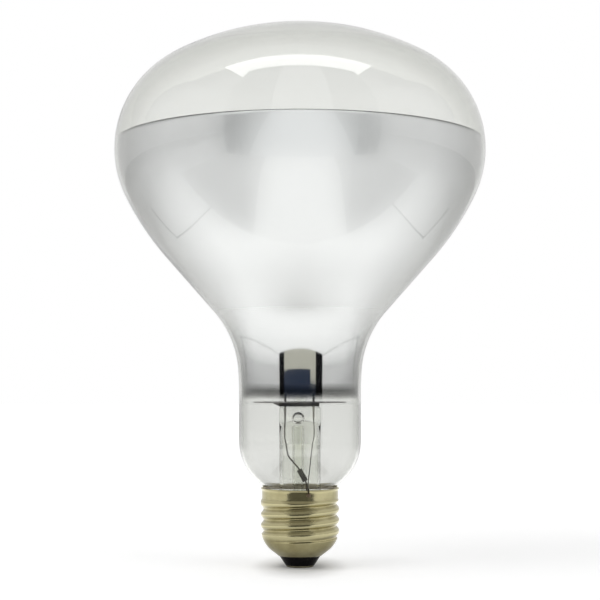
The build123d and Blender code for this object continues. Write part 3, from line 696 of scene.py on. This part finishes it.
dark_glass, dark_tree, dark_shader = new_material(
    "fused_black_glass", {"IOR": 1.52, "Specular IOR Level": 0.05}
)
dark_ripple = place_group(dark_tree, glass_ripple, {"Wave Scale": 260.0, "Haze Scale": 1500.0})
dark_colour = colour_between(
    dark_tree, dark_ripple.outputs["Haze"], (0.003, 0.003, 0.003), (0.006, 0.005, 0.006)
)
dark_tree.links.new(dark_colour, dark_shader.inputs["Base Color"])
dark_rough = map_range(dark_tree, dark_ripple.outputs["Haze"], 0.3, 0.7, 0.08, 0.2)
dark_tree.links.new(dark_rough, dark_shader.inputs["Roughness"])
add_bump(dark_tree, dark_shader, dark_ripple.outputs["Wave"], 0.4, 0.0001)
dress_nodes(dark_glass, "cap_insulator")

# Centre contact, solder and side weld
# The contact is a brass eyelet with a dished plate. Soft solder fills it and holds the centre
# lead, and a small welded nugget joins the side lead to the skirt.

# The contact's brass is painted dark: painted shade at the lamp's foot.
shade_darkened_brass = brass_material("shade_darkened_contact", (0.24, 0.22, 0.15), (0.10, 0.09, 0.06))
dress_nodes(shade_darkened_brass, "centre_contact")
solder, solder_tree, solder_shader = new_material("soft_solder", {"Metallic": 1.0})
solder_marks = place_group(solder_tree, draw_streaks, {"Blotch Scale": 700.0})
solder_colour = colour_between(
    solder_tree, solder_marks.outputs["Blotch"], (0.36, 0.36, 0.37), (0.55, 0.55, 0.56)
)
solder_tree.links.new(solder_colour, solder_shader.inputs["Base Color"])
solder_rough = map_range(solder_tree, solder_marks.outputs["Blotch"], 0.3, 0.7, 0.28, 0.5)
solder_tree.links.new(solder_rough, solder_shader.inputs["Roughness"])
add_bump(solder_tree, solder_shader, solder_marks.outputs["Blotch"], 0.4, 0.0001)
dress_nodes(solder, "centre_solder")
weld_nugget = drawn_metal("weld_nugget", (0.22, 0.17, 0.12), (0.10, 0.075, 0.055), 0.35, 0.5)
dress_nodes(weld_nugget, "side_weld")

# Floor
# A plain white sweep that keeps the soft shadow of the lamp's foot, deepened by a painted
# shadow where its glow is turned down round the foot. Reflections see a painted pool of light
# on it, brightest a little way out from the lamp and darker further away.


def seen_straight(tree):
    """One for what the camera sees directly or through clear glass, and nought in reflections."""
    path = shader_node(tree, "LightPath")
    bounced = combine(tree, "ADD", path.outputs["Glossy Depth"], path.outputs["Diffuse Depth"])
    straight = shader_node(tree, "Math", operation="SUBTRACT", use_clamp=True)
    straight.inputs[0].default_value = 1.0
    tree.links.new(bounced, straight.inputs[1])
    return straight.outputs["Value"]


floor_glow = 0.34
far_floor_glow = 0.54
# Glow left at the foot: the depth of the painted shadow.
painted_shadow_glow = 0.02
near_mirror_glow = 0.74
far_mirror_glow = 0.12
shadow_start = 0.014
shadow_end = 0.034
sweep_start = 0.2
sweep_end = 1.2
near_mirror_start = 0.012
near_mirror_end = 0.070
far_mirror_start = 0.08
far_mirror_end = 0.40
bpy.ops.object.select_all(action="DESELECT")
bpy.ops.mesh.primitive_plane_add(size=8.0, location=(0, 0, 0))
floor = bpy.context.active_object
floor.name = "white_sweep"
floor_white, floor_tree, floor_shader = new_material(
    "white_sweep",
    {
        "Base Color": (0.86, 0.86, 0.86, 1.0),
        "Roughness": 0.9,
        "Emission Color": (1.0, 1.0, 1.0, 1.0),
    },
)
floor_place = shader_node(floor_tree, "TexCoord")
floor_reach = shader_node(floor_tree, "VectorMath", operation="LENGTH")
foot_stretch = shader_node(floor_tree, "Mapping", {"Scale": (2.0, 1.0, 1.0)})
foot_reach = shader_node(floor_tree, "VectorMath", operation="LENGTH")
floor_tree.links.new(floor_place.outputs["Object"], floor_reach.inputs["Vector"])
floor_tree.links.new(floor_place.outputs["Object"], foot_stretch.inputs["Vector"])
floor_tree.links.new(foot_stretch.outputs["Vector"], foot_reach.inputs["Vector"])
floor_distance = floor_reach.outputs["Value"]
foot_distance = foot_reach.outputs["Value"]
far_share = map_range(
    floor_tree, floor_distance, sweep_start, sweep_end, 0.0, far_floor_glow - floor_glow
)
# Painted shadow: the glow is turned down round the foot, narrower from side to side than front to back.
painted_foot_shadow = map_range(
    floor_tree, foot_distance, shadow_start, shadow_end, painted_shadow_glow, floor_glow
)
straight_glow = combine(floor_tree, "ADD", far_share, painted_foot_shadow)
# Painted light for reflections: the glow rises from the foot to a peak a little way out, then falls off
# further away.
mirror_near = map_range(
    floor_tree, floor_distance, near_mirror_start, near_mirror_end, painted_shadow_glow, near_mirror_glow
)
mirror_far = map_range(
    floor_tree,
    floor_distance,
    far_mirror_start,
    far_mirror_end,
    0.0,
    far_mirror_glow - near_mirror_glow,
)
mirror_glow = combine(floor_tree, "ADD", mirror_near, mirror_far)
floor_mix = shader_node(floor_tree, "Mix")
floor_tree.links.new(seen_straight(floor_tree), floor_mix.inputs["Factor"])
floor_tree.links.new(mirror_glow, floor_mix.inputs["A"])
floor_tree.links.new(straight_glow, floor_mix.inputs["B"])
floor_tree.links.new(floor_mix.outputs["Result"], floor_shader.inputs["Emission Strength"])
floor.data.materials.append(floor_white)

# Studio cards
# Plain coloured boards round the lamp, which only reflections see. They give the film in the
# neck and the brass their dark accents, as an open studio front does.

card_distance = 0.150
card_black = (0.01, 0.01, 0.012)
card_beige = (0.70, 0.69, 0.60)
card_navy = (0.040, 0.055, 0.095)
card_grey = (0.60, 0.61, 0.61)
card_white = (1.06, 1.07, 1.08)
board_left = -0.081
board_right = 0.080
step_left = 0.050
low_top = 0.047
step_top = 0.0515
dark_top = 0.068
slant_top = 0.17
bar_top = 0.190
tent_top = 0.40


def rectangle(left, right, low, high):
    """Corners of a rectangle."""
    return [(left, low), (right, low), (right, high), (left, high)]


card_table = [
    ("left_bar", rectangle(-0.115, board_left, 0.0, bar_top), card_black),
    ("right_bar", rectangle(board_right, 0.130, 0.0, bar_top), card_black),
    ("low_board", rectangle(board_left, board_right, 0.0, low_top), card_beige),
    ("step_board", rectangle(step_left, board_right, low_top, step_top), card_beige),
    ("navy_board", rectangle(board_left, step_left, low_top, step_top), card_navy),
    ("dark_board", rectangle(board_left, board_right, step_top, dark_top), card_navy),
    (
        "left_board",
        [
            (-0.120, dark_top),
            (-0.078, dark_top),
            (-0.036, slant_top),
            (-0.036, tent_top),
            (-0.120, tent_top),
        ],
        card_grey,
    ),
    (
        "right_board",
        [(0.084, dark_top), (0.130, dark_top), (0.130, tent_top), (0.042, tent_top), (0.042, slant_top)],
        card_grey,
    ),
    (
        "middle_left",
        [(-0.078, dark_top), (0.0, dark_top), (0.0, tent_top), (-0.036, tent_top), (-0.036, slant_top)],
        card_white,
    ),
    (
        "middle_right",
        [(0.0, dark_top), (0.084, dark_top), (0.042, slant_top), (0.042, tent_top), (0.0, tent_top)],
        card_white,
    ),
]


def card_material(name, colour, strength):
    """Paint that glows evenly and that only reflections see."""
    paint = bpy.data.materials.new(name)
    paint.use_nodes = True
    tree = paint.node_tree
    tree.nodes.clear()
    output = shader_node(tree, "OutputMaterial")
    glow = shader_node(tree, "Emission", {"Color": (*colour, 1.0), "Strength": strength})
    clear = shader_node(tree, "BsdfTransparent")
    mix = shader_node(tree, "MixShader")
    tree.links.new(seen_straight(tree), mix.inputs["Fac"])
    tree.links.new(glow.outputs["Emission"], mix.inputs[1])
    tree.links.new(clear.outputs["BSDF"], mix.inputs[2])
    tree.links.new(mix.outputs["Shader"], output.inputs["Surface"])
    return paint


def add_card(name, corners, colour, strength=1.0):
    """A flat board that only reflections see."""
    mesh = bpy.data.meshes.new("card_" + name)
    mesh.from_pydata(corners, [], [range(len(corners))])
    card = bpy.data.objects.new("card_" + name, mesh)
    bpy.context.collection.objects.link(card)
    mesh.materials.append(card_material("card_" + name, colour, strength))
    card.visible_camera = False
    card.visible_diffuse = False
    card.visible_shadow = False


for name, outline, colour in card_table:
    add_card(name, [(x, -card_distance, z) for x, z in outline], colour)

fill_height = 0.078
fill_near = -0.052
fill_far = -card_distance
fill_table = [
    ("middle_fill", [(-0.028, fill_near), (0.028, fill_near), (0.046, fill_far), (-0.046, fill_far)], 1.30),
    ("left_fill", [(-0.130, fill_near), (-0.028, fill_near), (-0.046, fill_far), (-0.130, fill_far)], 0.88),
    ("right_fill", [(0.028, fill_near), (0.130, fill_near), (0.130, fill_far), (0.046, fill_far)], 0.88),
]
for name, outline, level in fill_table:
    add_card(name, [(x, y, fill_height) for x, y in outline], (1.0, 1.0, 1.0), level)

cap_board_distance = 0.036
shelf_height = 0.0278
cap_board = rectangle(-0.018, 0.018, 0.001, 0.027)
add_card("cap_board", [(x, -cap_board_distance, z) for x, z in cap_board], (0.15, 0.15, 0.135))
shelf_board = rectangle(-0.013, 0.013, -cap_board_distance, -0.0145)
add_card("shelf_board", [(x, y, shelf_height) for x, y in shelf_board], (0.40, 0.39, 0.36))
roof_board = [
    (-0.19, -0.40, 0.47),
    (0.185, -0.40, 0.47),
    (0.27, -0.10, 0.61),
    (-0.29, -0.10, 0.61),
]
add_card("roof_board", roof_board, (1.0, 1.0, 1.0), 3.9)

seam_grey = (0.42, 0.43, 0.42)
seam_lift = 0.002
corner_seam_top = 0.056
for side, corner in (("left", -0.118), ("right", 0.132)):
    outward = math.copysign(1.0, corner)
    floor_seam = [
        (corner, -0.150),
        (outward * 0.192, 0.102),
        (outward * 0.195, 0.100),
        (corner + outward * 0.003, -0.152),
    ]
    add_card(side + "_floor_seam", [(x, y, seam_lift) for x, y in floor_seam], seam_grey)
    foot = (outward * 0.194, 0.099)
    head = (outward * 0.192, 0.103)
    corner_seam = [(*foot, 0.0), (*head, 0.0), (*head, corner_seam_top), (*foot, corner_seam_top)]
    add_card(side + "_corner_seam", corner_seam, seam_grey)

# Light and camera
# A white tent all round, with a broad soft lamp from the upper left and a weaker one from the
# right. The camera stands level with the neck and looks slightly up.

tent_diffuse = 0.62
tent_straight = 1.0
tent_mirror = 0.86


def aim_lamp(name, place, target, size, power):
    """A square soft lamp that looks at a point and doesn't show in reflections."""
    light = bpy.data.lights.new(name, "AREA")
    light.shape = "SQUARE"
    light.size = size
    light.energy = power
    lamp = bpy.data.objects.new(name, light)
    bpy.context.collection.objects.link(lamp)
    lamp.location = place
    lamp.rotation_euler = (Vector(target) - Vector(place)).to_track_quat("-Z", "Y").to_euler()
    lamp.visible_glossy = False
    lamp.visible_transmission = False
    return lamp


bulb_middle = (0.0, 0.0, cad_high.z / 2)
aim_lamp("upper_left_lamp", (-0.75, -0.35, 0.95), bulb_middle, 0.7, 3.6)
aim_lamp("right_lamp", (0.85, -0.45, 0.60), bulb_middle, 0.7, 2.0)

world = bpy.data.worlds.new("white_tent")
bpy.context.scene.world = world
world.use_nodes = True
world_tree = world.node_tree
world_light = world_tree.nodes["Background"]
world_light.inputs["Color"].default_value = (1.0, 1.0, 1.0, 1.0)
world_path = shader_node(world_tree, "LightPath")
world_mirror = shader_node(world_tree, "MapRange", {"To Min": tent_diffuse, "To Max": tent_mirror})
world_tree.links.new(world_path.outputs["Is Glossy Ray"], world_mirror.inputs["Value"])
world_level = shader_node(world_tree, "Mix")
world_tree.links.new(seen_straight(world_tree), world_level.inputs["Factor"])
world_tree.links.new(world_mirror.outputs["Result"], world_level.inputs["A"])
world_level.inputs["B"].default_value = tent_straight
world_tree.links.new(world_level.outputs["Result"], world_light.inputs["Strength"])

camera_distance = 0.477
camera_height = 0.0608
camera_lift = 3.483
camera_lens = 84.19
light_bounces = 24
camera_data = bpy.data.cameras.new("camera")
camera_data.sensor_width = 36.0
camera_data.lens = camera_lens
camera_data.clip_start = 0.01
camera = bpy.data.objects.new("camera", camera_data)
bpy.context.collection.objects.link(camera)
camera.location = (0.0, -camera_distance, camera_height)
camera.rotation_euler = (math.radians(90 + camera_lift), 0.0, 0.0)
bpy.context.scene.camera = camera
bpy.context.scene.view_settings.view_transform = "Standard"
cycles = bpy.context.scene.cycles
cycles.max_bounces = light_bounces
cycles.transmission_bounces = light_bounces
cycles.transparent_max_bounces = light_bounces

bpy.context.view_layer.update()
